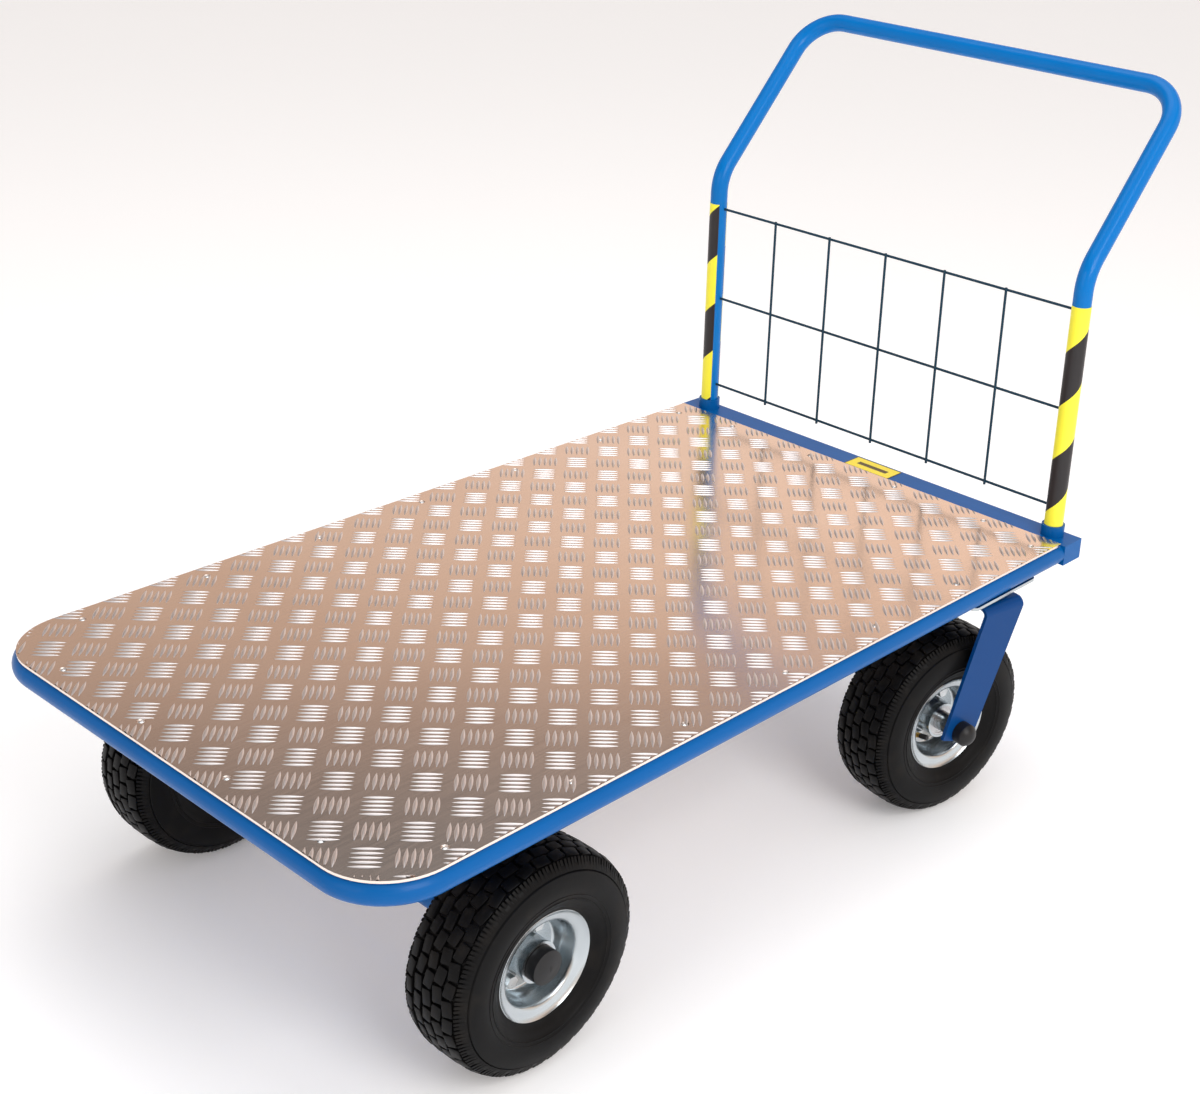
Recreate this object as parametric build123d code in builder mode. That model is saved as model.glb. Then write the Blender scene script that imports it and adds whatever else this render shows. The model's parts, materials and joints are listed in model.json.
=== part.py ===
# Platform cart: a bent-tube deck frame with a tread plate, a plug-in push handle with a wire
# mesh panel, two fixed wheels on a through axle at the front and two swivel casters at the rear.
# +X points forward, away from the handle, +Y to the left and +Z up. The origin is on the floor
# under the middle of the cart's overall box. All sizes are in millimetres.

import os
from math import atan2, cos, radians, sin, sqrt

from build123d import *

os.makedirs("parts", exist_ok=True)

# ---------------------------------------------------------------- driving dimensions
weld_gap = 0.2
slide_clearance = 0.3
running_clearance = 0.05
seat_clearance = 0.3

deck_length = 1189.0
deck_width = 700.0
deck_top_z = 340.0
plate_thickness = 3.0
plate_edge_inset = 6.0
plate_rail_gap = 2.0

frame_tube_diameter = 28.0
frame_tube_wall = 2.5
frame_corner_radius = 86.0

rail_width = 40.0
rail_wall = 2.5
ledge_thickness = 3.0
ledge_width = 36.0
channel_width = 34.0
channel_wall = 3.0
crossmember_width = 30.0
cope_reach = 10.0

handle_diameter = 25.0
handle_wall = 2.0
handle_rise = 359.0
handle_slope_length = 287.0
handle_slope_angle = 43.0
handle_lower_bend = 65.0
handle_upper_bend = 58.0
post_from_rear_edge = 17.0
post_from_side_edge = 36.0
socket_wall = 2.9
socket_collar_height = 15.0
socket_below_rail = 6.0
socket_floor = 3.0

mesh_wire_diameter = 3.6
mesh_column_pitch = 100.0
mesh_column_wires = 5
mesh_row_pitch = 137.0
mesh_bottom_above_deck = 37.0
weld_sink = 0.8
tape_height = 306.0
tape_thickness = 0.4
tape_gap_angle = 84.0

tyre_diameter = 260.0
tyre_width = 98.0
tyre_wall = 9.0
rim_sheet = 2.5
rim_flange_radius = 64.2
rim_flange_x = 33.0
rim_lip_x = 38.0
rim_seat_radius = 51.0
rim_well_radius = 44.0
hub_radius = 24.0
hub_half_length = 28.0
hub_step_radius = 18.0
bearing_radius = 21.0
bearing_width = 12.0
axle_radius = 10.0
rim_bolt_circle_radius = 33.0
rim_bolt_count = 4
rim_bolt_radius = 4.0
rim_bolt_head_across_flats = 13.0
rim_bolt_head_height = 5.3
rim_nut_height = 6.5
valve_radius = 3.5
valve_reach_x = 33.0

front_axle_from_rear = 950.0
front_wheel_inset = 66.0
hanger_thickness = 6.0
hanger_tyre_gap = 9.0
hanger_top_length = 160.0
hanger_end_radius = 24.0
hanger_flange_width = 46.0
sleeve_radius = 17.0
spacer_radius = 13.0
front_cap_radius = 20.0
front_cap_length = 16.5
front_cap_dome = 3.5
front_axle_past_hub = 12.0

caster_pivot_from_rear = 165.0
caster_pivot_inset = 58.0
caster_trail = 60.0
caster_rest_angle = 10.0
caster_plate_length = 138.0
caster_plate_width = 106.0
caster_plate_thickness = 4.0
caster_channel_offset = 50.0
swivel_gap = 5.0
swivel_ball_radius = 4.0
swivel_pitch_radius = 28.0
swivel_ball_count = 18
fork_plate = 5.0
fork_inner_half = 57.0
fork_bend_radius = 6.0
fork_crown_front = 34.0
fork_crown_rear = 33.0
fork_leg_half_width = 27.0
fork_leg_past_axle = 14.0
kingpin_radius = 8.0
kingpin_head_radius = 15.0
kingpin_head_height = 5.0
kingpin_nut_across_flats = 24.0
kingpin_nut_height = 9.0
kingpin_thread_past_nut = 2.0
caster_cap_radius = 15.0
caster_cap_length = 22.0
caster_cap_dome = 9.0
caster_axle_past_fork = 10.0

rivet_past_tube = 2.0
rivet_pitch = 167.0
rivets_per_side = 7
rivet_front_distance = 108.0
rivet_row_inset = 120.5
rivets_per_end = 4
rivet_end_past_tube = 3.0
rivet_radius = 2.0
rivet_head_radius = 4.4
rivet_head_height = 1.7

label_length = 80.0
label_width = 35.0
label_thickness = 0.4
label_offset_y = 9.0

# ---------------------------------------------------------------- worked-out places
tube_radius = frame_tube_diameter / 2
handle_radius = handle_diameter / 2
slope_run = handle_slope_length * sin(radians(handle_slope_angle))
slope_rise = handle_slope_length * cos(radians(handle_slope_angle))
handle_overhang = slope_run + handle_radius - post_from_rear_edge
rear_x = -(deck_length - handle_overhang) / 2
front_x = rear_x + deck_length
side_y = deck_width / 2

frame_top_z = deck_top_z - plate_thickness
frame_bottom_z = frame_top_z - frame_tube_diameter
tube_z = frame_top_z - tube_radius
tube_y = side_y - tube_radius
tube_front_x = front_x - tube_radius
rail_front_x = rear_x + rail_width
ledge_bottom_z = frame_top_z - ledge_thickness
tube_bite = sqrt(tube_radius**2 - (tube_radius - ledge_thickness) ** 2)
ledge_outer_y = tube_y - tube_bite - weld_gap
ledge_inner_y = ledge_outer_y - ledge_width
member_end_y = tube_y - cope_reach

post_x = rear_x + post_from_rear_edge
post_y = side_y - post_from_side_edge
socket_bore_radius = handle_radius + slide_clearance
socket_radius = socket_bore_radius + socket_wall
collar_top_z = frame_top_z + socket_collar_height
socket_bottom_z = frame_bottom_z - socket_below_rail
post_bottom_z = socket_bottom_z + socket_floor + seat_clearance
bend_z = deck_top_z + handle_rise
bar_x = post_x - slope_run
bar_z = bend_z + slope_rise

wheel_radius = tyre_diameter / 2
front_axle_x = rear_x + front_axle_from_rear
front_wheel_y = side_y - front_wheel_inset
caster_pivot_x = rear_x + caster_pivot_from_rear
caster_pivot_y = side_y - caster_pivot_inset
caster_plate_bottom_z = frame_bottom_z - caster_plate_thickness
crown_top_z = caster_plate_bottom_z - swivel_gap
crown_bottom_z = crown_top_z - fork_plate
fork_outer_half = fork_inner_half + fork_plate

hanger_outer_y = front_wheel_y - tyre_width / 2 - hanger_tyre_gap
hanger_inner_y = hanger_outer_y - hanger_thickness
axle_channel_offset = hanger_top_length / 2 - channel_width / 2

sides = {"left": 1, "right": -1}


def sphere_radius(base_radius, height):
    """Give the radius of the sphere that makes a dome of this base and height."""
    return (base_radius**2 + height**2) / (2 * height)


def save(piece, name):
    """Label a finished piece and write it as its own STEP file."""
    piece.part.label = name
    export_step(piece.part, f"parts/{name}.step")


# ---------------------------------------------------------------- deck frame
# One steel tube is bent into a U round the sides and front of the deck.
with BuildPart() as frame_tube:
    with BuildLine(Plane.XY.offset(tube_z)) as frame_path:
        FilletPolyline(
            (rail_front_x + weld_gap, tube_y),
            (tube_front_x, tube_y),
            (tube_front_x, -tube_y),
            (rail_front_x + weld_gap, -tube_y),
            radius=frame_corner_radius - tube_radius,
        )
    with BuildSketch(Plane(origin=frame_path.line @ 0, z_dir=frame_path.line % 0)):
        Circle(tube_radius)
        Circle(tube_radius - frame_tube_wall, mode=Mode.SUBTRACT)
    sweep()
save(frame_tube, "frame_tube")

# The rear rail is a rectangular tube that closes the U and carries the handle sockets.
rail_centre = (rear_x + rail_width / 2, 0, tube_z)
rail_plane = Plane(origin=rail_centre, x_dir=(1, 0, 0), z_dir=(0, 1, 0))
with BuildPart() as rear_rail:
    with BuildSketch(rail_plane):
        Rectangle(rail_width, frame_tube_diameter)
        Rectangle(rail_width - 2 * rail_wall, frame_tube_diameter - 2 * rail_wall, mode=Mode.SUBTRACT)
    extrude(amount=side_y - rail_wall, both=True)
    with BuildSketch(Plane.XY.offset(frame_bottom_z)):
        with Locations((post_x, post_y), (post_x, -post_y)):
            Circle(socket_radius + weld_gap)
    extrude(amount=frame_tube_diameter, mode=Mode.SUBTRACT)
save(rear_rail, "rear_rail")

with BuildPart() as rail_end_plates:
    for side in sides.values():
        with BuildSketch(rail_plane.offset(side * side_y)):
            Rectangle(rail_width, frame_tube_diameter)
        extrude(amount=-side * rail_wall)
save(rail_end_plates, "rail_end_plates")

# Flat strips welded inside the tube give the tread plate a ledge for its rivets.
side_ledge_end_x = front_x - frame_corner_radius
side_ledge_length = side_ledge_end_x - rail_front_x - weld_gap
with BuildPart() as side_ledges:
    with BuildSketch(Plane.XY.offset(ledge_bottom_z)):
        with Locations((side_ledge_end_x, ledge_outer_y)):
            Rectangle(side_ledge_length, ledge_width, align=(Align.MAX, Align.MAX))
        mirror(about=Plane.XZ)
    extrude(amount=ledge_thickness)
save(side_ledges, "side_ledges")

front_ledge_x = tube_front_x - tube_bite - weld_gap
front_ledge_length = 2 * (side_y - frame_corner_radius)
rear_ledge_length = 2 * (ledge_inner_y - weld_gap)
with BuildPart() as end_ledges:
    with BuildSketch(Plane.XY.offset(ledge_bottom_z)):
        with Locations((front_ledge_x, 0)):
            Rectangle(ledge_width, front_ledge_length, align=(Align.MAX, Align.CENTER))
        with Locations((rail_front_x + weld_gap, 0)):
            Rectangle(ledge_width, rear_ledge_length, align=(Align.MIN, Align.CENTER))
    extrude(amount=ledge_thickness)
save(end_ledges, "end_ledges")


def cut_member_ends():
    """Cope a cross member's ends round the frame tube and notch them under the side ledges."""
    for side in sides.values():
        with BuildSketch(Plane(origin=(0, side * tube_y, tube_z), z_dir=(1, 0, 0))) as cope:
            Circle(tube_radius + weld_gap)
        extrude(cope.sketch, amount=deck_length, both=True, mode=Mode.SUBTRACT)
        notch_width = side_y - ledge_inner_y + weld_gap
        with BuildSketch(Plane.XY.offset(ledge_bottom_z - weld_gap)) as notch:
            with Locations((0, side * side_y)):
                Rectangle(2 * deck_length, 2 * notch_width)
        extrude(notch.sketch, amount=2 * ledge_thickness, mode=Mode.SUBTRACT)


# Pairs of open channels cross the frame over the casters and over the front axle.
channel_places = {
    "caster_channels": [caster_pivot_x - caster_channel_offset, caster_pivot_x + caster_channel_offset],
    "axle_channels": [front_axle_x - axle_channel_offset, front_axle_x + axle_channel_offset],
}
for name, places in channel_places.items():
    with BuildPart() as channels:
        with BuildSketch(Plane(origin=(0, 0, frame_bottom_z), x_dir=(1, 0, 0), z_dir=(0, -1, 0))):
            with Locations(*[(place, 0) for place in places]):
                Rectangle(channel_width, frame_tube_diameter, align=(Align.CENTER, Align.MIN))
            with Locations(*[(place, channel_wall) for place in places]):
                Rectangle(
                    channel_width - 2 * channel_wall,
                    frame_tube_diameter,
                    align=(Align.CENTER, Align.MIN),
                    mode=Mode.SUBTRACT,
                )
        extrude(amount=member_end_y, both=True)
        cut_member_ends()
    save(channels, name)

middle_member_x = (caster_pivot_x + front_axle_x) / 2
with BuildPart() as middle_crossmember:
    with BuildSketch(Plane(origin=(middle_member_x, 0, tube_z), x_dir=(1, 0, 0), z_dir=(0, -1, 0))):
        Rectangle(crossmember_width, frame_tube_diameter)
        Rectangle(crossmember_width - 2 * rail_wall, frame_tube_diameter - 2 * rail_wall, mode=Mode.SUBTRACT)
    extrude(amount=member_end_y, both=True)
    cut_member_ends()
save(middle_crossmember, "middle_crossmember")

# Each socket is a short tube with a floor, welded through the rail; its collar stands above it.
socket_places = [(post_x, post_y), (post_x, -post_y)]
with BuildPart() as handle_sockets:
    with BuildSketch(Plane.XY.offset(socket_bottom_z)):
        with Locations(*socket_places):
            Circle(socket_radius)
    extrude(amount=collar_top_z - socket_bottom_z)
    with BuildSketch(Plane.XY.offset(socket_bottom_z + socket_floor)):
        with Locations(*socket_places):
            Circle(socket_bore_radius)
    extrude(amount=collar_top_z - socket_bottom_z, mode=Mode.SUBTRACT)
save(handle_sockets, "handle_sockets")

# ---------------------------------------------------------------- deck plate and rivets
plate_rear_x = rail_front_x + plate_rail_gap
plate_front_x = front_x - plate_edge_inset
plate_side_y = side_y - plate_edge_inset
rivet_side_y = side_y - frame_tube_diameter - rivet_past_tube
rivet_front_x = front_x - rivet_front_distance
side_rivets = [
    (rivet_front_x - index * rivet_pitch, side * rivet_side_y)
    for index in range(rivets_per_side)
    for side in sides.values()
]
row_start_y = rivet_row_inset - side_y
row_pitch = -2 * row_start_y / (rivets_per_end - 1)
row_front_x = front_x - frame_tube_diameter - rivet_end_past_tube
end_rivets = [
    (x, row_start_y + index * row_pitch)
    for index in range(rivets_per_end)
    for x in (row_front_x, rail_front_x + ledge_width / 2)
]
rivet_places = side_rivets + end_rivets

with BuildPart() as deck_plate:
    with BuildSketch(Plane.XY.offset(frame_top_z)) as plate_outline:
        with Locations((plate_rear_x, 0)):
            Rectangle(plate_front_x - plate_rear_x, 2 * plate_side_y, align=(Align.MIN, Align.CENTER))
        fillet(plate_outline.vertices().group_by(Axis.X)[-1], radius=frame_corner_radius - plate_edge_inset)
        with Locations(*rivet_places):
            Circle(rivet_radius + weld_gap, mode=Mode.SUBTRACT)
    extrude(amount=plate_thickness)
    with BuildSketch(Plane.XY.offset(deck_top_z - rivet_head_height)):
        with Locations(*rivet_places):
            Circle(rivet_head_radius + weld_gap)
    extrude(amount=rivet_head_height, mode=Mode.SUBTRACT)
save(deck_plate, "deck_plate")

for ledges, ledges_name in ((side_ledges, "side_ledges"), (end_ledges, "end_ledges")):
    with ledges:
        with BuildSketch(Plane.XY.offset(ledge_bottom_z)):
            with Locations(*rivet_places):
                Circle(rivet_radius + weld_gap)
        extrude(amount=ledge_thickness, mode=Mode.SUBTRACT)
    save(ledges, ledges_name)

# A pulled rivet has a domed head no higher than the plate's rolled bars, whose tops are the
# deck's top, and an upset bulb under the ledge.
with BuildPart() as deck_rivets:
    for x, y in rivet_places:
        head_base = (x, y, deck_top_z - rivet_head_height)
        with BuildSketch(Plane(origin=head_base, x_dir=(1, 0, 0), z_dir=(0, -1, 0))):
            with BuildLine():
                Line((0, 0), (rivet_head_radius, 0))
                dome_radius = sphere_radius(rivet_head_radius, rivet_head_height)
                RadiusArc((rivet_head_radius, 0), (0, rivet_head_height), -dome_radius)
                Line((0, rivet_head_height), (0, 0))
            make_face()
            grip = plate_thickness - rivet_head_height + ledge_thickness
            with Locations((0, -grip)):
                Rectangle(rivet_radius, grip, align=(Align.MIN, Align.MIN))
                Rectangle(rivet_radius * 1.5, rivet_radius * 1.5, align=(Align.MIN, Align.MAX))
        revolve(axis=Axis((x, y, 0), (0, 0, 1)))
save(deck_rivets, "deck_rivets")

with BuildPart() as load_label:
    with BuildSketch(Plane.XY.offset(frame_top_z)):
        with Locations((rear_x + rail_width / 2, label_offset_y)):
            RectangleRounded(label_width, label_length, radius=2)
    extrude(amount=label_thickness)
save(load_label, "load_label")

# ---------------------------------------------------------------- push handle
# One tube forms both posts, the two sloping arms and the top bar.
with BuildPart() as handle_tube:
    with BuildLine() as handle_path:
        FilletPolyline(
            (post_x, post_y, post_bottom_z),
            (post_x, post_y, bend_z),
            (bar_x, post_y, bar_z),
            (bar_x, -post_y, bar_z),
            (post_x, -post_y, bend_z),
            (post_x, -post_y, post_bottom_z),
            radius=(handle_lower_bend, handle_upper_bend, handle_upper_bend, handle_lower_bend),
        )
    with BuildSketch(Plane(origin=handle_path.line @ 0, z_dir=handle_path.line % 0)):
        Circle(handle_radius)
        Circle(handle_radius - handle_wall, mode=Mode.SUBTRACT)
    sweep()
save(handle_tube, "handle_tube")

# Three long wires and five cross wires are spot-welded into one panel between the posts.
wire_radius = mesh_wire_diameter / 2
mesh_bottom_z = deck_top_z + mesh_bottom_above_deck
mesh_height = 2 * mesh_row_pitch
cross_wire_x = post_x + mesh_wire_diameter - weld_sink
with BuildPart() as mesh_panel:
    with BuildSketch(Plane(origin=(0, 0, 0), x_dir=(1, 0, 0), z_dir=(0, -1, 0))):
        with Locations(*[(post_x, mesh_bottom_z + row * mesh_row_pitch) for row in range(3)]):
            Circle(wire_radius)
    extrude(amount=post_y, both=True)
    with BuildSketch(Plane.XY.offset(mesh_bottom_z - mesh_wire_diameter)):
        with Locations((cross_wire_x, 0)):
            with GridLocations(1, mesh_column_pitch, 1, mesh_column_wires):
                Circle(wire_radius)
    extrude(amount=mesh_height + 2 * mesh_wire_diameter)
    with BuildSketch(Plane.XY.offset(deck_top_z)):
        with Locations((post_x, post_y), (post_x, -post_y)):
            Circle(handle_radius + weld_gap / 2)
    extrude(amount=handle_rise, mode=Mode.SUBTRACT)
save(mesh_panel, "mesh_panel")

# Striped tape wraps each post above its collar and stops short of the welded mesh wires.
tape_bottom_z = collar_top_z + seat_clearance
for name, side in sides.items():
    with BuildPart() as tape:
        with BuildSketch(Plane.XY.offset(tape_bottom_z)):
            with Locations((post_x, side * post_y)):
                Circle(handle_radius + tape_thickness)
                Circle(handle_radius + 0.02, mode=Mode.SUBTRACT)
            half_gap = radians(tape_gap_angle / 2)
            gap_reach = 2 * handle_radius
            gap_inner_y = side * (post_y - gap_reach * cos(half_gap))
            with BuildLine():
                Polyline(
                    (post_x, side * post_y),
                    (post_x + gap_reach * sin(half_gap), gap_inner_y),
                    (post_x - gap_reach * sin(half_gap), gap_inner_y),
                    (post_x, side * post_y),
                )
            make_face(mode=Mode.SUBTRACT)
        extrude(amount=tape_height)
    save(tape, f"tape_{name}")

# ---------------------------------------------------------------- front axle
# Two bent hangers under the axle channels hold the through axle, with a sleeve between them.
for name, side in sides.items():
    with BuildPart() as hanger:
        hanger_plane = Plane(origin=(front_axle_x, side * hanger_outer_y, 0), x_dir=(1, 0, 0), z_dir=(0, -1, 0))
        with BuildSketch(hanger_plane):
            with BuildLine():
                Polyline(
                    (-hanger_top_length / 2, frame_bottom_z),
                    (hanger_top_length / 2, frame_bottom_z),
                    (hanger_top_length / 2, frame_bottom_z - 3 * hanger_thickness),
                    (hanger_end_radius, wheel_radius),
                    (-hanger_end_radius, wheel_radius),
                    (-hanger_top_length / 2, frame_bottom_z - 3 * hanger_thickness),
                    (-hanger_top_length / 2, frame_bottom_z),
                )
            make_face()
            with Locations((0, wheel_radius)):
                Circle(hanger_end_radius)
                Circle(axle_radius + weld_gap, mode=Mode.SUBTRACT)
        extrude(amount=side * hanger_thickness)
        with BuildSketch(Plane.XY.offset(frame_bottom_z)):
            with Locations((front_axle_x, side * (hanger_outer_y - hanger_flange_width / 2))):
                Rectangle(hanger_top_length, hanger_flange_width)
        extrude(amount=-hanger_thickness)
    save(hanger, f"axle_hanger_{name}")

axle_plane = Plane(origin=(front_axle_x, 0, wheel_radius), z_dir=(0, 1, 0))
with BuildPart() as axle_sleeve:
    with BuildSketch(axle_plane):
        Circle(sleeve_radius)
        Circle(axle_radius + weld_gap, mode=Mode.SUBTRACT)
    extrude(amount=hanger_inner_y - weld_gap, both=True)
save(axle_sleeve, "axle_sleeve")

hub_outer_y = front_wheel_y + hub_half_length
hub_inner_y = front_wheel_y - hub_half_length
with BuildPart() as front_axle:
    with BuildSketch(axle_plane):
        Circle(axle_radius)
    extrude(amount=hub_outer_y + front_axle_past_hub, both=True)
    chamfer(front_axle.edges().filter_by(GeomType.CIRCLE), length=1)
save(front_axle, "front_axle")

with BuildPart() as front_axle_spacers:
    for side in sides.values():
        with BuildSketch(axle_plane.offset(side * (hanger_outer_y + weld_gap))):
            Circle(spacer_radius)
            Circle(axle_radius + 2 * running_clearance, mode=Mode.SUBTRACT)
        extrude(amount=side * (hub_inner_y - seat_clearance - hanger_outer_y - weld_gap))
save(front_axle_spacers, "front_axle_spacers")


def draw_cap(length, radius, dome_height, socket_depth):
    """Sketch half a push-on cap on its axis: base at zero, a bored socket and a domed end."""
    shoulder = length - dome_height
    with BuildLine() as cap_outline:
        Polyline((0, bore_radius), (0, radius), (shoulder, radius))
        RadiusArc((shoulder, radius), (length, 0), sphere_radius(radius, dome_height))
        Polyline((length, 0), (socket_depth, 0), (socket_depth, bore_radius), (0, bore_radius))
    make_face(cap_outline.edges())


bore_radius = axle_radius + 2 * running_clearance
front_cap_socket = front_axle_past_hub - seat_clearance + 0.5
with BuildPart() as front_axle_caps:
    for side in sides.values():
        base = (front_axle_x, side * (hub_outer_y + seat_clearance), wheel_radius)
        with BuildSketch(Plane(origin=base, x_dir=(0, side, 0), z_dir=(side, 0, 0))):
            draw_cap(front_cap_length, front_cap_radius, front_cap_dome, front_cap_socket)
        revolve(axis=Axis(base, (0, 1, 0)))
save(front_axle_caps, "front_axle_caps")

# ---------------------------------------------------------------- casters
# The forks rest turned slightly inwards: heading is the way a caster's wheel trails.
headings = {name: Vector(1, 0, 0).rotate(Axis.Z, -side * caster_rest_angle) for name, side in sides.items()}
pivots = {name: Vector(caster_pivot_x, side * caster_pivot_y, 0) for name, side in sides.items()}
leg_slant = atan2(caster_trail, crown_top_z - wheel_radius)

for name, side in sides.items():
    pivot = pivots[name]
    heading = headings[name]
    across = Vector(0, 0, 1).cross(heading)
    groove_axis = Axis((pivot.X, pivot.Y, 0), (0, 0, 1))
    ball_z = caster_plate_bottom_z - swivel_gap / 2
    groove_plane = Plane(origin=(pivot.X, pivot.Y, ball_z), x_dir=(1, 0, 0), z_dir=(0, -1, 0))

    # The top plate is welded under the channels and the side tube.
    with BuildPart() as caster_plate:
        with BuildSketch(Plane.XY.offset(caster_plate_bottom_z)):
            with Locations((pivot.X, pivot.Y)):
                RectangleRounded(caster_plate_length, caster_plate_width, radius=8)
                Circle(kingpin_radius + running_clearance, mode=Mode.SUBTRACT)
        extrude(amount=caster_plate_thickness)
        with BuildSketch(groove_plane):
            with Locations((swivel_pitch_radius, 0)):
                Circle(swivel_ball_radius + seat_clearance)
        revolve(axis=groove_axis, mode=Mode.SUBTRACT)
    save(caster_plate, f"caster_plate_{name}")

    # The fork is one bent plate: a crown over the wheel and two straight sloping legs.
    fork_plane = Plane(origin=(pivot.X, pivot.Y, 0), x_dir=(across.X, across.Y, 0), z_dir=(heading.X, heading.Y, 0))
    side_plane = Plane(origin=(pivot.X, pivot.Y, 0), x_dir=(heading.X, heading.Y, 0), z_dir=(-across.X, -across.Y, 0))
    leg_end_x = caster_trail + fork_leg_past_axle * sin(leg_slant)
    leg_end_z = wheel_radius - fork_leg_past_axle * cos(leg_slant)
    half_x = fork_leg_half_width * cos(leg_slant)
    half_z = fork_leg_half_width * sin(leg_slant)
    bend_bottom_z = crown_bottom_z - fork_bend_radius
    with BuildPart() as fork:
        with BuildSketch(fork_plane) as bend_outside:
            with Locations((0, crown_top_z)):
                Rectangle(2 * fork_outer_half, crown_top_z, align=(Align.CENTER, Align.MAX))
            fillet(bend_outside.vertices().group_by(Axis.Y)[-1], radius=fork_bend_radius + fork_plate)
        extrude(amount=3 * caster_trail, both=True)
        with BuildSketch(fork_plane) as bend_inside:
            with Locations((0, crown_bottom_z)):
                Rectangle(2 * fork_inner_half, crown_bottom_z, align=(Align.CENTER, Align.MAX))
            fillet(bend_inside.vertices().group_by(Axis.Y)[-1], radius=fork_bend_radius)
        extrude(amount=3 * caster_trail, both=True, mode=Mode.SUBTRACT)
        with BuildSketch(side_plane):
            with BuildLine():
                Polyline(
                    (-fork_crown_rear, deck_top_z),
                    (fork_crown_front, deck_top_z),
                    (fork_crown_front, bend_bottom_z),
                    (leg_end_x + half_x, leg_end_z + half_z),
                    (leg_end_x - half_x, leg_end_z - half_z),
                    (-fork_crown_rear, bend_bottom_z),
                    (-fork_crown_rear, deck_top_z),
                )
            make_face()
        extrude(amount=2 * fork_outer_half, both=True, mode=Mode.INTERSECT)
        with BuildSketch(side_plane):
            with Locations((caster_trail, wheel_radius)):
                Circle(axle_radius + weld_gap)
        extrude(amount=2 * fork_outer_half, both=True, mode=Mode.SUBTRACT)
        with BuildSketch(Plane.XY.offset(crown_bottom_z)):
            with Locations((pivot.X, pivot.Y)):
                Circle(kingpin_radius + running_clearance)
        extrude(amount=fork_plate, mode=Mode.SUBTRACT)
        with BuildSketch(groove_plane):
            with Locations((swivel_pitch_radius, 0)):
                Circle(swivel_ball_radius + seat_clearance)
        revolve(axis=groove_axis, mode=Mode.SUBTRACT)
    save(fork, f"fork_{name}")

    # Balls run in the two pressed grooves between the top plate and the crown.
    with BuildPart() as swivel_balls:
        with Locations((pivot.X, pivot.Y, ball_z)):
            with PolarLocations(swivel_pitch_radius, swivel_ball_count):
                Sphere(swivel_ball_radius)
    save(swivel_balls, f"swivel_balls_{name}")

    # The kingpin hangs the fork from the top plate and is locked by a nut above it.
    head_top_z = crown_bottom_z - seat_clearance
    with BuildPart() as kingpin:
        with BuildSketch(Plane(origin=(pivot.X, pivot.Y, head_top_z), x_dir=(1, 0, 0), z_dir=(0, -1, 0))):
            with BuildLine():
                Line((0, 0), (kingpin_head_radius, 0))
                dome_radius = sphere_radius(kingpin_head_radius, kingpin_head_height)
                RadiusArc((kingpin_head_radius, 0), (0, -kingpin_head_height), dome_radius)
                Line((0, -kingpin_head_height), (0, 0))
            make_face()
            kingpin_top_z = frame_bottom_z + kingpin_nut_height + kingpin_thread_past_nut
            Rectangle(kingpin_radius, kingpin_top_z - head_top_z, align=(Align.MIN, Align.MIN))
        revolve(axis=groove_axis)
        with BuildSketch(Plane.XY.offset(frame_bottom_z)):
            with Locations((pivot.X, pivot.Y)):
                RegularPolygon(kingpin_nut_across_flats / 2, 6, major_radius=False)
                Circle(kingpin_radius + running_clearance, mode=Mode.SUBTRACT)
        extrude(amount=kingpin_nut_height)
    save(kingpin, f"kingpin_{name}")

    outward = across * side
    wheel_centre = pivot + heading * caster_trail + Vector(0, 0, wheel_radius)
    caster_axle_plane = Plane(origin=wheel_centre, z_dir=outward)
    axle_half = fork_outer_half + caster_axle_past_fork
    with BuildPart() as caster_axle:
        with BuildSketch(caster_axle_plane):
            Circle(axle_radius)
        extrude(amount=axle_half, both=True)
        chamfer(caster_axle.edges().filter_by(GeomType.CIRCLE), length=1)
    save(caster_axle, f"caster_axle_{name}")

    with BuildPart() as caster_spacers:
        for end in (1, -1):
            with BuildSketch(caster_axle_plane.offset(end * (hub_half_length + seat_clearance))):
                Circle(spacer_radius)
                Circle(bore_radius, mode=Mode.SUBTRACT)
            extrude(amount=end * (fork_inner_half - hub_half_length - 2 * seat_clearance))
    save(caster_spacers, f"caster_spacers_{name}")

    with BuildPart() as caster_caps:
        for end in (1, -1):
            cap_out = outward * end
            base = wheel_centre + cap_out * (fork_outer_half + weld_gap)
            with BuildSketch(Plane(origin=base, x_dir=cap_out, z_dir=cap_out.cross(Vector(0, 0, 1)))):
                socket_depth = caster_axle_past_fork + seat_clearance
                draw_cap(caster_cap_length, caster_cap_radius, caster_cap_dome, socket_depth)
            revolve(axis=Axis(base, cap_out))
    save(caster_caps, f"caster_caps_{name}")

# ---------------------------------------------------------------- wheels
# Every wheel is the same: a tyre and inner tube on two bolted rim pressings, one of which
# carries the hub with its two sealed bearings. The valve faces out on the casters only.
wheels = {}
for name, side in sides.items():
    front_centre = Vector(front_axle_x, side * front_wheel_y, wheel_radius)
    rear_centre = pivots[name] + headings[name] * caster_trail + Vector(0, 0, wheel_radius)
    rear_outward = Vector(0, 0, side).cross(headings[name])
    wheels[f"front_{name}"] = (front_centre, Vector(0, side, 0), -1)
    wheels[f"rear_{name}"] = (rear_centre, rear_outward, 1)

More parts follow.
